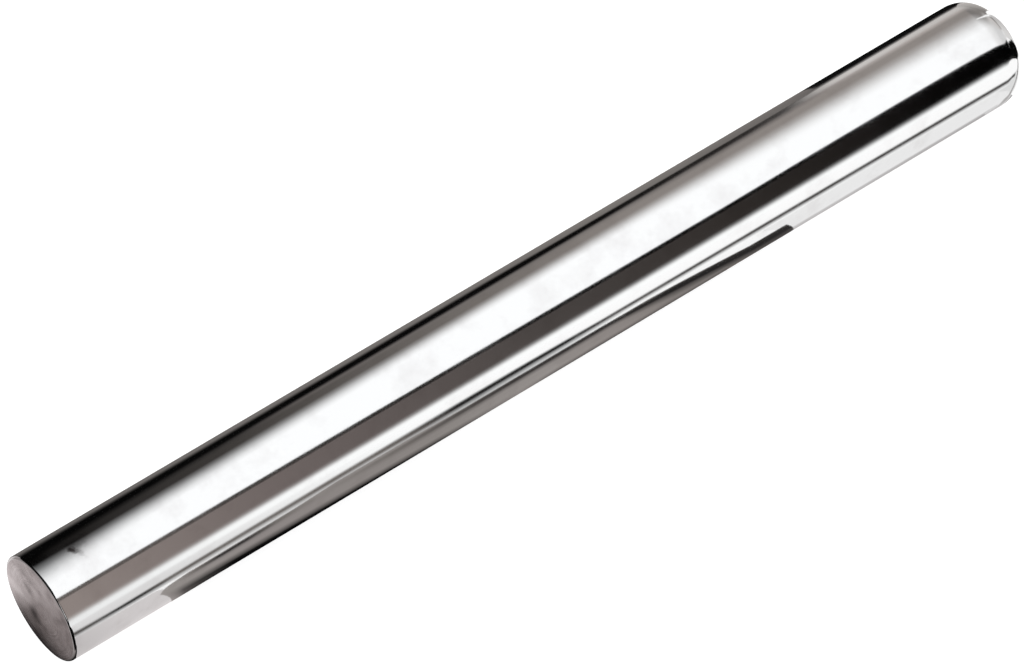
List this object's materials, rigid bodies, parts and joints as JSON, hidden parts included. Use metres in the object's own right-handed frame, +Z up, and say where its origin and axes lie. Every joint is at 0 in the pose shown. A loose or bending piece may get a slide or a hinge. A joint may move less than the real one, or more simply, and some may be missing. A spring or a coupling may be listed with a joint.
{
  "type": "rolling pin",
  "caption": "Straight handle-less rolling pin: a mirror-polished stainless steel tube, closed by a flat turned cap at one end and a domed cap at the other, both welded in, for rolling out dough and pastry.",
  "frame": {"origin": "middle of the pin's axis, half its length from either end face", "axes": "+X along the pin towards the domed right end cap, +Z up with the pin lying on its side, +Y across it"},
  "size_m": [0.41, 0.04, 0.04],
  "materials": {
    "mirror_polished_stainless": "polished",
    "turned_stainless": "satin"
  },
  "bodies": {
    "root": {"roller_tube": "mirror_polished_stainless", "left_end_cap": "turned_stainless", "right_end_cap": "mirror_polished_stainless", "left_weld_ring": "mirror_polished_stainless", "right_weld_ring": "mirror_polished_stainless"}
  },
  "joints": []
}
